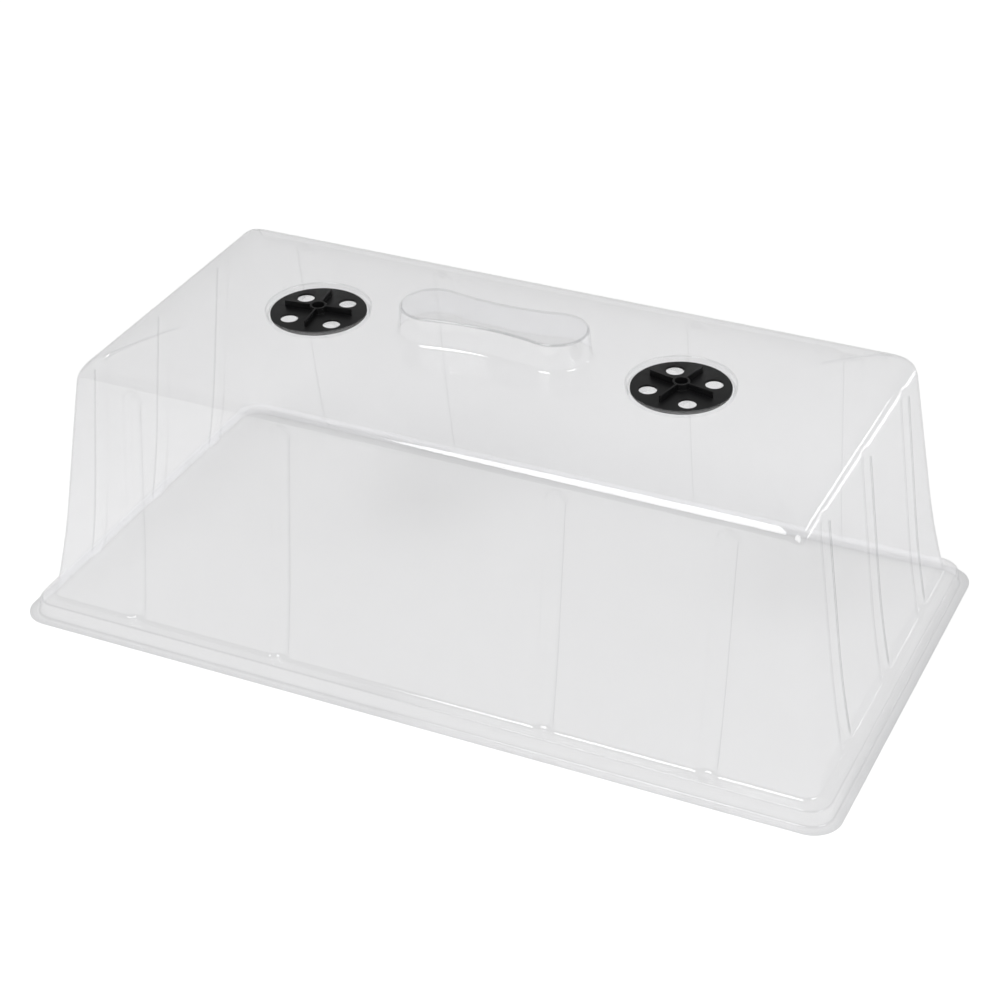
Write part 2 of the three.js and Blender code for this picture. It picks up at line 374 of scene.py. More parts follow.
def select_where(piece: Object, kind: Select, test: Callable[[Any], bool]) -> None:
    """Enters edit mode with the elements selected that pass a test.

    Args:
        piece: The mesh object.
        kind: Whether edges or faces are picked.
        test: True for an element to pick.
    """
    activate(piece)
    bpy.ops.object.mode_set(mode="EDIT")
    bpy.ops.mesh.select_mode(type=kind.value)
    bpy.ops.mesh.select_all(action="DESELECT")
    bpy.ops.object.mode_set(mode="OBJECT")
    elements = {Select.EDGE: piece.data.edges, Select.FACE: piece.data.polygons}[kind]
    for element in elements:
        element.select = test(element)
    bpy.ops.object.mode_set(mode="EDIT")


def join(pieces: Sequence[Object]) -> Object:
    """Joins pieces into the first one.

    Args:
        pieces: Mesh objects.

    Returns:
        The joined object.
    """
    activate(pieces[0])
    for piece in pieces[1:]:
        piece.select_set(True)
    bpy.ops.object.join()
    return pieces[0]


def apply_modifier(piece: Object, kind: str, **settings: Any) -> None:
    """Adds one modifier and applies it.

    Args:
        piece: The mesh object.
        kind: Blender's name of the modifier's type.
        settings: Properties of the modifier.
    """
    activate(piece)
    modifier = piece.modifiers.new(kind.lower(), kind)
    for name, value in settings.items():
        setattr(modifier, name, value)
    bpy.ops.object.modifier_apply(modifier=modifier.name)


def merge_points(piece: Object, distance: float, outward: bool = False) -> None:
    """Merges the points that lie close together.

    Args:
        piece: The mesh object.
        distance: How close two points are that become one, in metres.
        outward: Whether the faces are then turned to point outwards.
    """
    activate(piece)
    bpy.ops.object.mode_set(mode="EDIT")
    bpy.ops.mesh.select_all(action="SELECT")
    bpy.ops.mesh.remove_doubles(threshold=distance)
    if outward:
        bpy.ops.mesh.normals_make_consistent(inside=False)
    bpy.ops.object.mode_set(mode="OBJECT")


def cut_or_join(piece: Object, tool: Object, operation: str) -> None:
    """Joins a tool to a piece or cuts it out, and removes the tool.

    Args:
        piece: The piece that is kept.
        tool: The solid that is added or taken away.
        operation: UNION or DIFFERENCE.
    """
    apply_modifier(piece, "BOOLEAN", operation=operation, object=tool, solver="EXACT")
    bpy.data.objects.remove(tool)
    activate(piece)
    bpy.ops.object.mode_set(mode="EDIT")
    bpy.ops.mesh.select_all(action="SELECT")
    bpy.ops.mesh.dissolve_degenerate(threshold=SLIVER_WIDTH)
    merge_points(piece, SLIVER_WIDTH)


def finish_mesh(piece: Object, smooth_deg: float) -> None:
    """Shades a piece smooth, except across edges sharper than an angle."""
    activate(piece)
    bpy.ops.object.shade_smooth_by_angle(angle=math.radians(smooth_deg))


def store_painted_bend_shade(piece: Object, tight_mm: float,
               weight: Callable[[np.ndarray], np.ndarray]) -> None:
    """Stores how sharply the mesh bends at each vertex, for the finish.

    Args:
        piece: The mesh object.
        tight_mm: Bend radius that counts as a full bend.
        weight: Gives, for places in metres, the weight of painted bend shade there and the painted
            shade of a flat place.
    """
    mesh = piece.data
    loop_edges = np.empty(len(mesh.loops), int)
    mesh.loops.foreach_get("edge_index", loop_edges)
    sizes = np.empty(len(mesh.polygons), int)
    mesh.polygons.foreach_get("loop_total", sizes)
    owners = np.repeat(np.arange(len(sizes)), sizes)
    normals, centres = np.empty((2, len(sizes), 3))
    mesh.polygons.foreach_get("normal", normals.ravel())
    mesh.polygons.foreach_get("center", centres.ravel())
    order = np.argsort(loop_edges, kind="stable")
    edges, owners = loop_edges[order], owners[order]
    pair = np.flatnonzero(edges[1:] == edges[:-1])
    one, two = owners[pair], owners[pair + 1]
    turn = np.arccos(np.clip((normals[one] * normals[two]).sum(1), -1.0, 1.0))
    gap = np.linalg.norm(centres[one] - centres[two], axis=1)
    curl = turn / np.maximum(gap, SMALLEST_GAP) * tight_mm * MM
    bend = np.clip((curl - GENTLE_BEND) / (1.0 - GENTLE_BEND), 0.0, 1.0)
    ends = np.empty(2 * len(mesh.edges), int)
    mesh.edges.foreach_get("vertices", ends)
    ends = ends.reshape(-1, 2)[edges[pair]]
    most = np.zeros(len(mesh.vertices))
    np.maximum.at(most, ends.ravel(), np.repeat(bend, 2))
    places = np.empty((len(mesh.vertices), 3))
    mesh.vertices.foreach_get("co", places.ravel())
    bend_shade_weight, flat_shade = weight(places)
    # Painted shade for the sheet's finish, one value per vertex.
    marks = mesh.attributes.new(BEND_SHADE_ATTRIBUTE, "FLOAT", "POINT")
    marks.data.foreach_set("value", np.maximum(most * bend_shade_weight, flat_shade))


def wrap_grid(name: str, rings: np.ndarray) -> Object:
    """Wraps a grid into an open tube through rings of points.

    Args:
        name: The new object's name.
        rings: Rows of points in millimetres, each row one closed ring.

    Returns:
        The tube, in metres.
    """
    rows, columns, _ = rings.shape
    deselect_all()
    bpy.ops.mesh.primitive_grid_add(x_subdivisions=columns, y_subdivisions=rows - 1)
    piece = bpy.context.object
    piece.name = name
    closed = np.concatenate([rings, rings[:, :1]], axis=1) * MM
    piece.data.vertices.foreach_set("co", closed.astype(np.float32).ravel())
    piece.data.update()
    merge_points(piece, MERGE_DISTANCE)
    return piece


def round_profile(corners: Sequence[Triple], steps: int) -> list[tuple[float, float]]:
    """Rounds the corners of a profile.

    Args:
        corners: Points as two coordinates and a corner radius.
        steps: Segments of each rounded corner.

    Returns:
        The points of the rounded profile.
    """
    points: list[tuple[float, float]] = []
    for i, (a, b, radius) in enumerate(corners):
        here = Vector((a, b))
        if radius <= 0 or i in (0, len(corners) - 1):
            points.append((a, b))
            continue
        back = (Vector(corners[i - 1][:2]) - here).normalized()
        ahead = (Vector(corners[i + 1][:2]) - here).normalized()
        half = back.angle(ahead) / 2
        centre = here + (back + ahead).normalized() * (radius / math.sin(half))
        start = here + back * (radius / math.tan(half)) - centre
        turn = start.angle_signed(here + ahead * (radius / math.tan(half)) - centre)
        for step in range(steps + 1):
            angle = -turn * step / steps
            c, s = math.cos(angle), math.sin(angle)
            points.append((centre.x + start.x * c - start.y * s,
                           centre.y + start.x * s + start.y * c))
    return points


def soft_step(value: np.ndarray, corner: float) -> np.ndarray:
    """A ramp from 0 to 1 with rounded ends.

    Args:
        value: Where on the ramp, 0 at its foot and 1 at its head.
        corner: Half the width of each rounded end.

    Returns:
        The ramp's heights.
    """
    def above(x: np.ndarray) -> np.ndarray:
        """The positive part, with a rounded corner."""
        rounded = (x + corner) ** 2 / (4 * corner)
        return np.where(x < -corner, 0.0, np.where(x > corner, x, rounded))
    return 1.0 - above(1.0 - above(value))


# The object


@dataclass
class Dome:
    """The clear sheet with its rim, fluted walls, crowned top, grip and pockets, in millimetres."""

    length: float = 540.0
    width: float = 288.0
    sheet: float = 0.8
    flange_width: float = 5.8
    flange_bend_r: float = 1.0
    step_top_inset: float = 7.0
    step_edge_r: float = 1.3
    shoulder_z: float = 11.0
    shoulder_middle: float = 10.6
    foot_r: float = 2.6
    foot_guide_z: float = 30.0
    wall_top_inset: float = 37.6
    wall_top_z: float = 166.3
    wall_slope: float = 0.126
    flare: float = 3.0
    flare_top_z: float = 76.0
    top_z: float = 183.4
    edge_apex_z: float = 169.3
    long_edge_r: float = 10.0
    short_edge_r: float = 19.0
    edge_tilt: float = math.radians(23.0)
    long_flute_half: float = 6.5
    short_flute_half: float = 8.0
    flute_floor_share: float = 0.37
    flute_round: float = 0.22
    long_flute_depth: float = 2.4
    short_flute_depth: float = 1.2
    flute_foot_share: float = 0.4
    long_flutes: tuple[float, ...] = (-190.0, -88.0, 88.0, 190.0)
    long_flute_top_z: float = 163.0
    short_flutes: tuple[float, ...] = (-73.5, 0.0, 73.5)
    short_flute_top_z: float = 165.0
    grip_top_z: float = 202.0
    grip_lobe_x: float = 40.0
    grip_lobe_r: float = 20.0
    grip_waist: float = 15.8
    grip_border: float = 8.0
    grip_foot_margin: float = 1.7
    grip_foot_r: float = 3.0
    grip_head_margin: float = 0.3
    grip_head_r: float = 1.7
    grip_top_inset: float = 5.0
    pocket_border: float = 4.0
    pocket_r: float = 32.0
    pocket_floor_r: float = 31.4
    pocket_foot_r: float = 0.9
    pocket_floor_edge: float = 29.6
    pocket_floor_z: float = 178.7
    vent_hole_angle: float = 42.0
    stud_hole_r: float = 4.3
    lip_r: float = 1.2
    flange_corner_r: float = 18.0
    step_corner_r: float = 14.0
    shoulder_start: float = 8.0
    shoulder_end: float = 12.0
    wall_corner_r: float = 9.0
    hip_start: float = 9.0
    hip_r: float = 0.6
    hip_end: float = 8.0
    plateau_corner_r: float = 20.0
    # From here to shade_line_half: painted shade, that is how much the finish darkens bends in each
    # region and band, the painted shade lines down the flutes, and the painted shade on the grip's
    # top.
    tight_bend: float = 1.5
    rim_bend_shade: float = 0.28
    end_wall_bend_shade: float = 0.12
    long_wall_bend_shade: float = 0.12
    flute_head_bend_shade: float = 0.4
    front_flute_shade_line: float = 0.35
    back_flute_shade_line: float = 0.3
    right_flute_shade_line: float = 2.2
    left_flute_shade_line: float = 1.0
    crown_bend_shade: float = 0.35
    grip_bend_shade: float = 0.1
    grip_foot_bend_shade: float = 0.2
    pocket_bend_shade: float = 0.4
    grip_top_painted_shade: float = 0.3
    rim_band: float = 5.0
    wall_band: float = 6.0
    lip_band: float = 1.0
    pocket_band: float = 5.0
    grip_band: float = 10.0
    grip_edge_drop: tuple[float, float] = (6.0, 3.0)
    grip_top_drop: tuple[float, float] = (1.2, 0.8)
    long_shade_line_share: float = 0.83
    short_shade_line_share: float = 0.985
    shade_line_half: float = 0.25
    wall_rows: tuple[float, ...] = (
        18.0, 22.0, 26.0, 31.0, 37.0, 44.0, 52.0, 60.0, 68.0, 76.0, 90.0, 105.0, 120.0, 132.0,
        140.0)
    wall_head_z: float = 146.0
    wall_head_rows: int = 16
    edge_rows: int = 17
    crown_rows: int = 15
    column_gap: float = 24.0
    flute_columns: tuple[float, ...] = (
        0.0, 0.25, 0.4, 0.48, 0.55, 0.65, 0.74, 0.83, 0.91, 0.985, 1.06, 1.2, 1.48)
    corner_steps: int = 12
    bend_steps: int = 6
    foot_steps: int = 8
    grip_steps: int = 7
    lobe_points: int = 49
    waist_points: int = 17
    pocket_points: int = 96
    hole_points: int = 40
    smooth_deg: float = 34.0
    wall_tilt: float = field(init=False)
    long_section: list[Triple] = field(init=False)
    short_section: list[Triple] = field(init=False)
    piece: Object = field(init=False)

    def __post_init__(self) -> None:
        """Works out the places that follow from the sizes."""
        self.wall_tilt = math.atan(1 / self.wall_slope)
        self.long_section = self.profile(self.long_edge_r)
        self.short_section = self.profile(self.short_edge_r)

    def wall_inset(self, z: float) -> float:
        """Inset of the outer wall face at a height."""
        straight = self.wall_top_inset - self.wall_slope * (self.wall_top_z - z)
        return straight - self.flare * self._flare_share(z)

    def _flare_share(self, z: float) -> float:
        """Share of the foot's outward flare that the wall has at a height."""
        return max(0.0, (self.flare_top_z - z) / (self.flare_top_z - self.shoulder_z)) ** 2

    def corner_r(self, inset: float) -> float:
        """Plan radius of the corners at an inset of the long sides.

        Args:
            inset: How far in from the long edge.

        Returns:
            The radius there.
        """
        crown = self.long_section[-self.crown_rows][0]
        plateau = self.long_section[-1][0]
        insets, radii = zip(
            (0.0, self.flange_corner_r), (self.flange_width, self.step_corner_r),
            (self.shoulder_start, self.step_corner_r), (self.shoulder_end, self.wall_corner_r),
            (crown, self.wall_corner_r), (crown + self.hip_start, self.hip_r),
            (plateau - self.hip_end, self.hip_r), (plateau, self.plateau_corner_r))
        return float(np.interp(inset, insets, radii))

    def profile(self, edge_r: float) -> list[Triple]:
        """Section of the outer face from the flange's edge to the level top.

        Args:
            edge_r: Radius of the top edge on this side.

        Returns:
            Points as inset, height and the share of the flutes' depth.
        """
        foot = self.wall_inset(self.shoulder_z)
        shoulder = (self.shoulder_middle, self.shoulder_z, 0.0)
        rim = round_profile((
            (0.0, self.sheet, 0.0), (self.flange_width, self.sheet, self.flange_bend_r),
            (self.step_top_inset, self.shoulder_z, self.step_edge_r), shoulder), self.bend_steps)
        bend = round_profile((
            shoulder, (foot, self.shoulder_z, self.foot_r),
            (self.wall_inset(self.foot_guide_z), self.foot_guide_z, 0.0)), self.foot_steps)[1:-1]
        middle = (self.wall_tilt + self.edge_tilt) / 2
        half = (self.wall_tilt - self.edge_tilt) / 2
        reach = edge_r / math.cos(half)
        centre = (self.wall_inset(self.edge_apex_z) + reach * math.sin(middle),
                  self.edge_apex_z - reach * math.cos(middle))
        tilts = np.linspace(self.wall_tilt, self.edge_tilt, self.edge_rows)
        edge = [self._arc(*centre, edge_r, tilt) for tilt in tilts]
        head = np.linspace(self.wall_head_z, edge[0][1], self.wall_head_rows)
        heights = [*self.wall_rows, *head[:-1]]
        wall = [(self.wall_inset(z), float(z)) for z in heights]
        crown_r = (self.top_z - edge[-1][1]) / (1 - math.cos(self.edge_tilt))
        plateau = edge[-1][0] + crown_r * math.sin(self.edge_tilt)
        crown = [self._arc(plateau, self.top_z - crown_r, crown_r, t)
                 for t in np.linspace(self.edge_tilt, 0.0, self.crown_rows)[1:]]
        plain = [(a, z, 0.0) for a, z in rim[:-1]]
        return plain + [(a, z, 1.0) for a, z in [*bend, *wall, *edge, *crown]]

    @staticmethod
    def _arc(inset: float, z: float, radius: float, tilt: float) -> tuple[float, float]:
        """Point of a round in the profile where its face has a tilt."""
        return inset - radius * math.sin(tilt), z + radius * math.cos(tilt)

    def _columns(self, flutes: Sequence[float], half: float, reach: float) -> np.ndarray:
        """Places of the mesh columns along one side, close together at the flutes.

        Args:
            flutes: Middle of each flute.
            half: Half the width of a flute.
            reach: Half the side's straight length.

        Returns:
            Sorted places along the side.
        """
        shares = self.flute_columns
        places = sorted({c + way * s * half for c in flutes for s in shares for way in (-1, 1)})
        filled = [-reach]
        for place in [*places, reach]:
            start = filled[-1]
            count = int((place - start) // self.column_gap) + 2
            filled.extend(np.linspace(start, place, count)[1:])
        return np.array(filled[1:-1])

    def _side(self, along: np.ndarray, depth: float, z: float, flutes: Sequence[float],
              half: float, top_z: float, pressed: float) -> np.ndarray:
        """Inward-pressed places of one side's columns at a height.

        Args:
            along: Places along the side.
            depth: Half the distance between this side and the opposite one.
            z: Height.
            flutes: Middle of each flute.
            half: Half the width of a flute.
            top_z: Top of the flutes.
            pressed: Depth of the flutes here.

        Returns:
            The distance of each column from the object's middle.
        """
        rise = max(0.0, z - (top_z - half))
        reach = np.min([np.hypot(along - c, rise) for c in flutes], axis=0)
        ramp = (half - reach) / (half * (1.0 - self.flute_floor_share))
        return depth - pressed * soft_step(ramp, self.flute_round)

    def _ring(self, row: int) -> np.ndarray:
        """One row of the sheet's mesh, anticlockwise from the right wall.

        Args:
            row: Number of the row in the two sections.

        Returns:
            The ring's points.
        """
        inset_y, z_long, share = self.long_section[row]
        inset_x, z_end, _ = self.short_section[row]
        r = self.corner_r(inset_y)
        hx, hy = self.length / 2 - inset_x, self.width / 2 - inset_y
        reach_x = self.length / 2 - self.wall_top_inset - self.wall_corner_r
        reach_y = self.width / 2 - self.wall_top_inset - self.wall_corner_r
        across = self._columns(self.short_flutes, self.short_flute_half, reach_y)
        along = self._columns(self.long_flutes, self.long_flute_half, reach_x)
        foot = self.flute_foot_share * self.flare * self._flare_share(z_end)
        end = self._side(across, hx, z_end, self.short_flutes, self.short_flute_half,
                         self.short_flute_top_z, (self.short_flute_depth + foot) * share)
        front = self._side(along, hy, z_long, self.long_flutes, self.long_flute_half,
                           self.long_flute_top_z, self.long_flute_depth * share)
        across = across * min(1.0, (hy - r) / reach_y)
        along = along * min(1.0, (hx - r) / reach_x)
        t = np.linspace(0.0, math.pi / 2, self.corner_steps + 1)
        bend = np.stack([hx - r + r * np.cos(t), hy - r + r * np.sin(t),
                         z_end + (z_long - z_end) * np.sin(t) ** 2], 1)
        half = np.concatenate([
            np.stack([end, across, np.full(len(end), z_end)], 1), bend,
            np.stack([along[::-1], front[::-1], np.full(len(front), z_long)], 1),
            bend[::-1] * (-1, 1, 1)])
        return np.concatenate([half, half * (-1, -1, 1)])

    def _grip_ring(self, margin: float, z: float) -> np.ndarray:
        """Outline of the grip, grown by a margin, at a height.

        Args:
            margin: Growth outwards.
            z: Height.

        Returns:
            The ring's points.
        """
        waist_r = (self.grip_lobe_x ** 2 + self.grip_waist ** 2 - self.grip_lobe_r ** 2) / (
            2 * (self.grip_lobe_r - self.grip_waist))
        reach = math.atan2(self.grip_waist + waist_r, -self.grip_lobe_x)
        t = np.linspace(-reach, reach, self.lobe_points)
        lobe = np.stack([self.grip_lobe_x + (self.grip_lobe_r + margin) * np.cos(t),
                         (self.grip_lobe_r + margin) * np.sin(t)], 1)
        s = np.linspace(reach - math.pi / 2, math.pi / 2 - reach, self.waist_points)[1:-1]
        waist = np.stack([(waist_r - margin) * np.sin(s),
                          self.grip_waist + waist_r - (waist_r - margin) * np.cos(s)], 1)
        half = np.concatenate([lobe, waist])
        plan = np.concatenate([half, -half])
        return np.column_stack([plan, np.full(len(plan), z)])

    def _pocket(self, side: Side) -> Object:
        """Lip, wall and floor of one vent pocket, with the holes in its floor.

        Args:
            side: Which vent.

        Returns:
            The pocket's open mesh.
        """
        x = side.value * VENT_X
        section = round_profile((
            (self.pocket_r + self.pocket_border, self.top_z, 0.0),
            (self.pocket_r, self.top_z, self.lip_r),
            (self.pocket_floor_r, self.pocket_floor_z, self.pocket_foot_r),
            (self.pocket_floor_edge, self.pocket_floor_z, 0.0)), self.bend_steps)
        t = np.linspace(0.0, 2 * math.pi, self.pocket_points + 1)[:-1]
        rings = np.array([np.stack([x + r * np.cos(t), r * np.sin(t), np.full(len(t), z)], 1)
                          for r, z in section])
        loops = [wrap_grid("pocket", rings)]
        holes = [(VENT_CIRCLE_R, self.vent_hole_angle + QUARTER_TURN * k, VENT_HOLE_R)
                 for k in range(4)]
        for circle, angle, radius in [*holes, (0.0, 0.0, self.stud_hole_r)]:
            turn = math.radians(angle)
            place = (x + circle * math.cos(turn), circle * math.sin(turn), self.pocket_floor_z)
            deselect_all()
            bpy.ops.mesh.primitive_circle_add(
                vertices=self.hole_points, radius=radius * MM, location=Vector(place) * MM)
            bpy.ops.object.transform_apply(location=True, rotation=False, scale=False)
            loops.append(bpy.context.object)
        pocket = join(loops)
        self._fill_level(pocket, self.pocket_floor_z)
        return pocket

    @staticmethod
    def _fill_level(piece: Object, z: float) -> None:
        """Fills the flat region between the open loops at a height.

        Args:
            piece: The mesh object.
            z: The height in millimetres.
        """
        uses = np.zeros(len(piece.data.edges), int)
        for polygon in piece.data.polygons:
            for key in polygon.loop_indices:
                uses[piece.data.loops[key].edge_index] += 1
        points = piece.data.vertices

        def open_here(edge: MeshEdge) -> bool:
            """True for an edge of an open loop at the height."""
            level = all(abs(points[v].co.z - z * MM) < PLANE_TOLERANCE for v in edge.vertices)
            return level and uses[edge.index] < 2
        select_where(piece, Select.EDGE, open_here)
        bpy.ops.mesh.fill(use_beauty=True)
        bpy.ops.object.mode_set(mode="OBJECT")

    def build(self) -> None:
        """Models the sheet's outer face, gives it its thickness and stores its painted bend shade.
        """
        rows = range(len(self.long_section))
        walls = wrap_grid("dome_sheet", np.array([self._ring(row) for row in rows]))
        section = round_profile((
            (self.grip_border, self.top_z, 0.0),
            (self.grip_foot_margin, self.top_z, self.grip_foot_r),
            (self.grip_head_margin, self.grip_top_z, self.grip_head_r),
            (-self.grip_top_inset, self.grip_top_z, 0.0)), self.grip_steps)
        grip = wrap_grid("grip", np.array([self._grip_ring(m, z) for m, z in section]))
        self._fill_level(grip, self.grip_top_z)
        piece = join([walls, grip, self._pocket(Side.LEFT), self._pocket(Side.RIGHT)])
        self._fill_level(piece, self.top_z)
        merge_points(piece, MERGE_DISTANCE, outward=True)
        apply_modifier(piece, "SOLIDIFY", thickness=self.sheet * MM, offset=-1.0,
                       use_even_offset=True)
        store_painted_bend_shade(piece, self.tight_bend, self._painted_shade_weight)
        finish_mesh(piece, self.smooth_deg)
        self.piece = piece

    def _painted_shade_weight(self, places: np.ndarray) -> np.ndarray:
        """Painted shade at bends and flat places, standing in for the darkening the real sheet gets
        by bending light.

        Args:
            places: Points of the mesh in metres.

        Returns:
            The weight of the painted shade at a bend and the painted shade of a flat place, for
            each point.
        """
        x, y, z = np.abs(places).T / MM
        at_end = self.length / 2 - x < self.width / 2 - y
        flute_head_z = self.long_flute_top_z - self.long_flute_half
        wall = np.where(at_end, self.end_wall_bend_shade, np.where(
            z > flute_head_z, self.flute_head_bend_shade, self.long_wall_bend_shade))
        in_pocket = np.hypot(x - VENT_X, y) < self.pocket_r + self.pocket_band
        beside_grip = self.grip_lobe_r + self.grip_band
        at_grip = (x < self.grip_lobe_x + beside_grip) & (y < beside_grip)
        # Painted shade on the crown's bends only in the front-left and back-right quarters.
        shaded_quarters = places[:, 0] * places[:, 1] > 0
        crown = np.select([in_pocket, at_grip], [self.pocket_bend_shade, self.grip_foot_bend_shade],
                          self.crown_bend_shade * shaded_quarters)
        edge_zs = self.grip_top_z - np.array(self.grip_edge_drop)
        grip = np.interp(z, edge_zs, (self.grip_bend_shade, 1.0))
        bands = [z < self.shoulder_z + self.rim_band, z < self.long_flute_top_z + self.wall_band,
                 z < self.top_z + self.lip_band]
        bend_shade_weight = np.select(bands, [np.full_like(z, self.rim_bend_shade), wall, crown], grip)
        # Painted shade on the grip's top face.
        top_zs = self.grip_top_z - np.array(self.grip_top_drop)
        flat_shade = np.interp(z, top_zs, (0.0, self.grip_top_painted_shade))
        return np.stack([bend_shade_weight, np.maximum(flat_shade, self._painted_flute_shade(places, at_end))])

    def _painted_flute_shade(self, places: np.ndarray, at_end: np.ndarray) -> np.ndarray:
        """The painted shade line down one edge of each flute, placed alike after half a turn about
        the middle, and darker on the right end wall than the left and on the front wall than the
        back.

        Args:
            places: Points of the mesh in metres.
            at_end: True for points of the two end walls.

        Returns:
            The painted shade of each point, zero beside the lines.
        """
        x, y, z = places.T / MM
        right, back = x > 0, y > 0
        along = np.where(at_end, np.where(right, y, -y), np.where(back, -x, x))
        on_long = ~at_end & self._on_edge(
            along, self.long_flutes, self.long_shade_line_share * self.long_flute_half)
        on_short = at_end & self._on_edge(
            along, self.short_flutes, self.short_shade_line_share * self.short_flute_half)
        # Painted shade lines, stronger on the right end wall and on the front wall.
        shaft = (z > self.shoulder_z + self.rim_band) & (
            z < self.long_flute_top_z - self.long_flute_half)
        return shaft * (on_long * np.where(back, self.back_flute_shade_line, self.front_flute_shade_line)
                        + on_short * np.where(right, self.right_flute_shade_line, self.left_flute_shade_line))

    def _on_edge(self, along: np.ndarray, flutes: Sequence[float], edge: float) -> np.ndarray:
        """True for places along a side that lie on one edge of its flutes."""
        return np.min([np.abs(along - c - edge) for c in flutes], axis=0) < self.shade_line_half

    def dress(self, finish: ClearSheet) -> None:
        """Gives the sheet its finish and its place in the frame.

        Args:
            finish: The clear plastic.
        """
        self.piece.data.materials.clear()
        self.piece.data.materials.append(finish.material())
        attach(self.piece, "dome")
        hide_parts("dome")


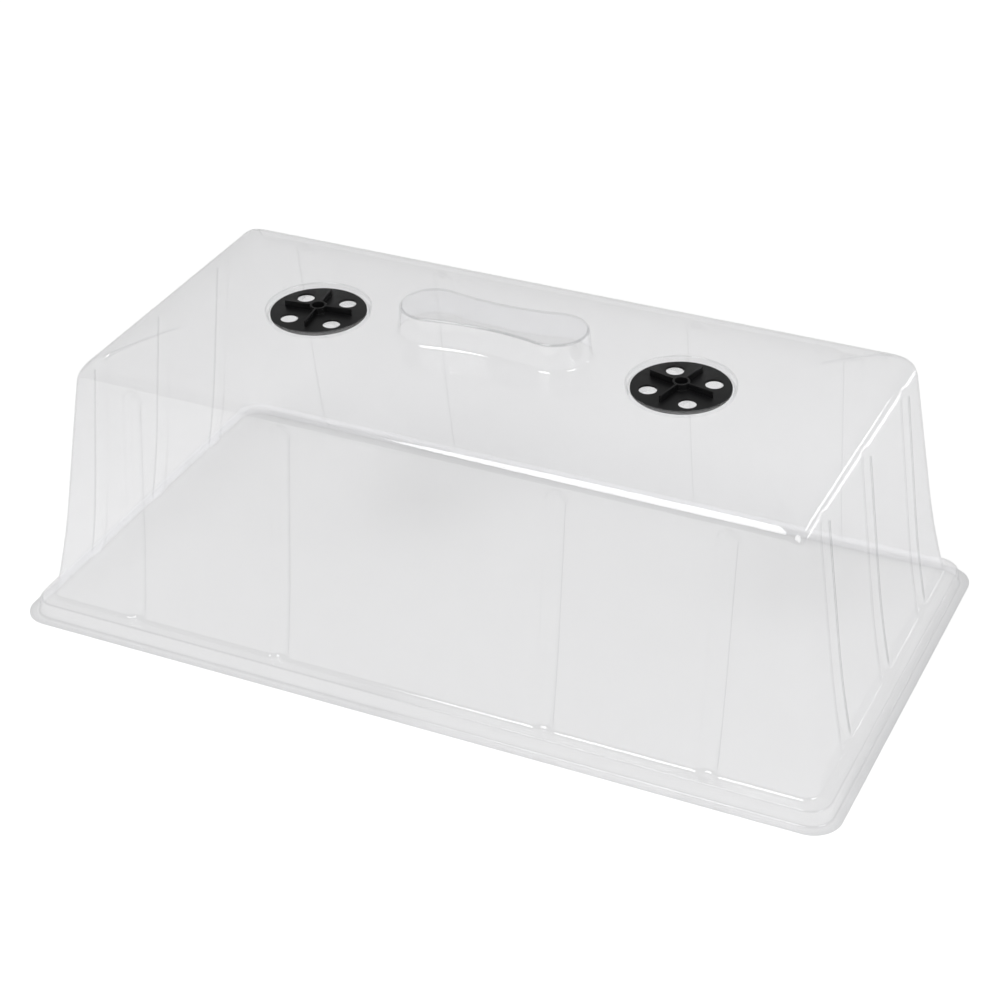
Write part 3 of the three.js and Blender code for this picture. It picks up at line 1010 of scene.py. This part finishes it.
@dataclass
class VentDial:
    """The moulded dial, in millimetres, modelled once on the axis and copied into both pockets."""

    disc_r: float = 29.9
    bottom_z: float = 179.0
    face_z: float = 180.5
    hub_r: float = 5.2
    bore_r: float = 3.9
    bore_floor_z: float = 180.2
    hub_top_z: float = 184.6
    fin_reach: float = 22.0
    fin_thickness: float = 1.2
    fin_overlap: float = 0.7
    fin_base: float = 0.6
    fin_bevel: float = 0.22
    hole_ease: float = 0.3
    stud_r: float = 4.0
    stud_bore_r: float = 2.6
    stud_bore_top_z: float = 178.6
    barb_r: float = 5.2
    barb_top_z: float = 177.6
    barb_edge_z: float = 176.8
    tip_r: float = 3.6
    tip_z: float = 174.6
    slit: float = 1.2
    slit_top_z: float = 178.2
    slit_overrun: float = 1.0
    edge_r: float = 0.3
    disc_edge_r: float = 0.4
    hub_foot_r: float = 0.5
    stud_edge_r: float = 0.2
    edge_steps: int = 4
    spin_steps: int = 112
    hole_points: int = 48
    smooth_deg: float = 32.0
    angles: dict[Side, float] = field(
        default_factory=lambda: {Side.LEFT: 52.0, Side.RIGHT: 32.0})
    pieces: dict[Side, Object] = field(default_factory=dict, init=False)

    def _turned_body(self) -> Object:
        """Disc, hub and stud, spun from their half section.

        Returns:
            The closed body on the axis.
        """
        edge, stud_edge = self.edge_r, self.stud_edge_r
        section = round_profile((
            (0.0, self.bore_floor_z, 0.0), (self.bore_r, self.bore_floor_z, edge),
            (self.bore_r, self.hub_top_z, edge), (self.hub_r, self.hub_top_z, edge),
            (self.hub_r, self.face_z, self.hub_foot_r),
            (self.disc_r, self.face_z, self.disc_edge_r),
            (self.disc_r, self.bottom_z, edge), (self.stud_r, self.bottom_z, stud_edge),
            (self.stud_r, self.barb_top_z, stud_edge), (self.barb_r, self.barb_top_z, stud_edge),
            (self.barb_r, self.barb_edge_z, edge), (self.tip_r, self.tip_z, edge),
            (self.stud_bore_r, self.tip_z, edge), (self.stud_bore_r, self.stud_bore_top_z, edge),
            (0.0, self.stud_bore_top_z, 0.0)), self.edge_steps)
        deselect_all()
        bpy.ops.mesh.primitive_circle_add(vertices=len(section), radius=self.disc_r * MM)
        body = bpy.context.object
        body.name = "dial"
        places = np.array([(r * MM, 0.0, z * MM) for r, z in section], np.float32)
        body.data.vertices.foreach_set("co", places.ravel())
        closing = {0, len(section) - 1}
        select_where(body, Select.EDGE, lambda line: set(line.vertices) == closing)
        bpy.ops.mesh.delete(type="EDGE")
        bpy.ops.mesh.select_all(action="SELECT")
        bpy.ops.mesh.spin(
            steps=self.spin_steps, angle=2 * math.pi, center=(0, 0, 0), axis=(0, 0, 1))
        merge_points(body, MERGE_DISTANCE, outward=True)
        return body

    def _fins(self) -> Object:
        """The four crossed fins of the finger grip, midway between the holes.

        Returns:
            The fins as one object.
        """
        inner, base_z = self.hub_r - self.fin_overlap, self.bottom_z + self.fin_base
        size = (self.fin_reach - inner, self.fin_thickness, self.hub_top_z - base_z)
        middle = ((self.fin_reach + inner) / 2, 0.0, (self.hub_top_z + base_z) / 2)
        fins = []
        for quarter in range(4):
            fin = self._block(size, middle, self.fin_bevel)
            turn = math.radians(QUARTER_TURN * (quarter + 0.5))
            fin.data.transform(Matrix.Rotation(turn, 4, "Z"))
            fins.append(fin)
        return join(fins)

    @staticmethod
    def _block(size: Triple, middle: Triple, bevel: float) -> Object:
        """A block with eased edges.

        Args:
            size: Its three sides.
            middle: Where its middle lies.
            bevel: Width of the bevels, or zero for sharp edges.

        Returns:
            The block.
        """
        deselect_all()
        bpy.ops.mesh.primitive_cube_add(size=1.0)
        block = bpy.context.object
        bpy.ops.object.mode_set(mode="EDIT")
        bpy.ops.transform.resize(value=[side * MM for side in size])
        if bevel > 0:
            bpy.ops.mesh.bevel(offset=bevel * MM, segments=2, affect="EDGES")
            bpy.ops.mesh.select_all(action="SELECT")
        bpy.ops.transform.translate(value=[place * MM for place in middle])
        bpy.ops.object.mode_set(mode="OBJECT")
        return block

    def _cutters(self) -> Object:
        """Air holes with eased rims and the stud's crossed slits.

        Returns:
            The cutters as one object.
        """
        cutters = []
        depth = self.face_z - self.bottom_z - 2 * self.hole_ease
        grow = 1 + 2 * self.hole_ease / VENT_HOLE_R
        for quarter in range(4):
            turn = math.radians(QUARTER_TURN * quarter)
            place = Vector((VENT_CIRCLE_R * math.cos(turn), VENT_CIRCLE_R * math.sin(turn),
                            (self.face_z + self.bottom_z) / 2)) * MM
            deselect_all()
            bpy.ops.mesh.primitive_cylinder_add(
                vertices=self.hole_points, radius=VENT_HOLE_R * MM, depth=depth * MM,
                location=place)
            bpy.ops.object.transform_apply(location=True, rotation=False, scale=False)
            cutter = bpy.context.object
            for way in (-1, 1):
                select_where(cutter, Select.FACE, lambda face: face.normal.z * way > LEVEL_NORMAL)
                bpy.ops.mesh.extrude_region_move(
                    TRANSFORM_OT_translate={"value": (0.0, 0.0, way * 2 * self.hole_ease * MM)})
                bpy.ops.transform.resize(value=(grow, grow, 1.0), center_override=place)
                bpy.ops.object.mode_set(mode="OBJECT")
            cutters.append(cutter)
        height = self.slit_top_z - self.tip_z + self.slit_overrun
        for turn in (0.0, QUARTER_TURN):
            slot = self._block((4 * self.barb_r, self.slit, height),
                               (0.0, 0.0, self.slit_top_z - height / 2), 0.0)
            slot.data.transform(Matrix.Rotation(math.radians(turn), 4, "Z"))
            cutters.append(slot)
        return join(cutters)

    def build(self) -> None:
        """Models the dial on the axis and copies it into both pockets at its angle."""
        dial = self._turned_body()
        cut_or_join(dial, self._fins(), "UNION")
        cut_or_join(dial, self._cutters(), "DIFFERENCE")
        finish_mesh(dial, self.smooth_deg)
        for side, angle in self.angles.items():
            copy = dial.copy()
            copy.data = dial.data.copy()
            copy.name = f"dial_{side.name.lower()}"
            bpy.context.scene.collection.objects.link(copy)
            turn = Matrix.Rotation(math.radians(angle), 4, "Z")
            copy.data.transform(Matrix.Translation((side.value * VENT_X * MM, 0.0, 0.0)) @ turn)
            self.pieces[side] = copy
        bpy.data.objects.remove(dial)

    def dress(self, finish: BlackPlastic) -> None:
        """Gives both dials their finish and their places in the frame.

        Args:
            finish: The black plastic.
        """
        material = finish.material()
        for side, piece in self.pieces.items():
            piece.data.materials.clear()
            piece.data.materials.append(material)
            name = side.name.lower()
            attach(piece, f"dial_{name}")
            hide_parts(f"vent_dial_{name}")


# The studio


@dataclass(frozen=True)
class Softbox:
    """One soft lamp that faces a point."""

    name: str
    place: Triple
    aim: Triple
    size: tuple[float, float]
    radiance: float

    def build(self) -> None:
        """Adds the lamp."""
        lamp = bpy.data.lights.new(self.name, "AREA")
        lamp.shape = "ELLIPSE"
        lamp.size, lamp.size_y = self.size
        area = math.pi / 4 * self.size[0] * self.size[1]
        lamp.energy = self.radiance * math.pi * area
        holder = bpy.data.objects.new(self.name, lamp)
        bpy.context.scene.collection.objects.link(holder)
        holder.visible_camera = False
        turn = (Vector(self.aim) - Vector(self.place)).to_track_quat("-Z", "Y")
        holder.matrix_world = Matrix.Translation(self.place) @ turn.to_matrix().to_4x4()


@dataclass(frozen=True)
class Studio:
    """Floor, room light, lamps and the camera at the photograph's angle."""

    floor_half: float = 6.0
    floor_gap: float = 0.0002
    camera_place: Triple = (0.55616, -1.1479, 0.8876)
    camera_right: Triple = (0.90563, 0.42359, -0.01994)
    camera_up: Triple = (-0.21306, 0.49517, 0.84227)
    camera_back: Triple = (0.36665, -0.75853, 0.53869)
    lens_mm: float = 87.56
    sensor_mm: float = 36.0
    clip_start: float = 0.02
    sheet_faces_crossed: int = 40
    room_light: float = 0.48
    backdrop: tuple[tuple[float, float], ...] = (
        (0.0, 0.56), (0.5, 0.56), (0.56, 0.59), (0.65, 0.69), (0.8, 0.76), (1.0, 0.8))
    behind_camera: float = 0.65
    behind_y: tuple[float, float] = (-0.3, 0.1)
    glow_way: Triple = (0.3, 0.8, 0.52)
    glow_width: float = 10.0
    glow: float = 0.145
    white_through_sheet: float = 0.64
    lamps: tuple[Softbox, ...] = (
        Softbox("key_softbox", (-0.35, -1.08, 1.6), (-0.35, -0.1, 0.17), (0.9, 1.45), 5.4),
        Softbox("rim_softbox", (1.52, 1.7, 0.39), (0.23, 0.0, 0.17), (0.4, 0.14), 5.5),
        Softbox("fill_softbox", (1.5, -0.35, 1.0), (0.25, 0.0, 0.05), (0.9, 0.9), 4.4),
        Softbox("low_softbox", (0.664, 0.66, 0.045), (0.23, 0.0, 0.16), (0.4, 0.065), 5.5),
    )

    def _floor(self, finish: PaleFloor) -> None:
        """Adds the floor under the object.

        Args:
            finish: The floor's finish.
        """
        deselect_all()
        bpy.ops.mesh.primitive_plane_add(size=2 * self.floor_half)
        floor = bpy.context.object
        floor.data.transform(Matrix.Translation((0.0, 0.0, -self.floor_gap)))
        floor.name = "studio_floor"
        floor.data.materials.append(finish.material())

    def _room(self) -> None:
        """Lights the object evenly, shows a graded room to mirrors and white to the camera."""
        world = bpy.data.worlds.new("studio_room")
        bpy.context.scene.world = world
        world.use_nodes = True
        board = Board(world.node_tree)
        way = board.wire("ShaderNodeTexCoord", output="Generated")
        parts = board.node("ShaderNodeSeparateXYZ", inputs={0: way})
        height = Wire(board, parts.outputs["Z"]) * 0.5 + 0.5
        shade = board.wire("ShaderNodeValToRGB", {"stops": self.backdrop}, {0: height})
        front = board.wire("ShaderNodeMapRange", {"interpolation_type": "SMOOTHSTEP"}, {
            "Value": parts.outputs["Y"], 1: self.behind_y[0], 2: self.behind_y[1],
            3: self.behind_camera, 4: 1.0})
        towards = board.wire("ShaderNodeVectorMath", {"operation": "DOT_PRODUCT"}, {
            0: way, 1: Vector(self.glow_way).normalized()}, output="Value")
        ahead = board.wire("ShaderNodeMath", {"operation": "MAXIMUM"}, {0: towards, 1: 0.0})
        reflected = ahead ** self.glow_width * self.glow + shade * front
        path = board.node("ShaderNodeLightPath")
        mirrored = Wire(board, path.outputs["Is Glossy Ray"])
        strength = mirrored * reflected + (1.0 - mirrored) * self.room_light
        soft = board.node("ShaderNodeBackground", inputs={"Color": WHITE, "Strength": strength})
        bare = before_sheet(board, path)
        level = bare * (1.0 - self.white_through_sheet) + self.white_through_sheet
        white = board.node("ShaderNodeBackground", inputs={"Color": WHITE, "Strength": level})
        both = board.node("ShaderNodeMixShader", inputs={
            0: Wire(board, path.outputs["Is Camera Ray"]) + path.outputs["Is Transmission Ray"],
            1: soft.outputs[0], 2: white.outputs[0]})
        board.node("ShaderNodeOutputWorld", inputs={"Surface": both.outputs[0]})

    def _camera(self) -> None:
        """Adds the camera where the photograph was taken from."""
        lens = bpy.data.cameras.new("photo_camera")
        lens.lens = self.lens_mm
        lens.sensor_width = self.sensor_mm
        lens.clip_start = self.clip_start
        camera = bpy.data.objects.new("photo_camera", lens)
        bpy.context.scene.collection.objects.link(camera)
        axes = Matrix((self.camera_right, self.camera_up, self.camera_back)).transposed().to_4x4()
        camera.matrix_world = Matrix.Translation(self.camera_place) @ axes
        bpy.context.scene.camera = camera

    def build(self) -> None:
        """Sets the stage."""
        bpy.context.scene.view_settings.view_transform = "Standard"
        bpy.context.scene.cycles.transparent_max_bounces = self.sheet_faces_crossed
        self._floor(PaleFloor())
        self._room()
        for lamp in self.lamps:
            lamp.build()
        self._camera()


def main() -> None:
    """Builds the object and the studio, and reports each piece."""
    logging.basicConfig(level=logging.INFO)
    dome = Dome()
    dome.build()
    dome.dress(ClearSheet())
    dials = VentDial()
    dials.build()
    dials.dress(BlackPlastic())
    for piece in [dome.piece, *dials.pieces.values()]:
        LOG.info("%s: %d faces", piece.name, len(piece.data.polygons))
    Studio().build()


if __name__ == "__main__":
    main()
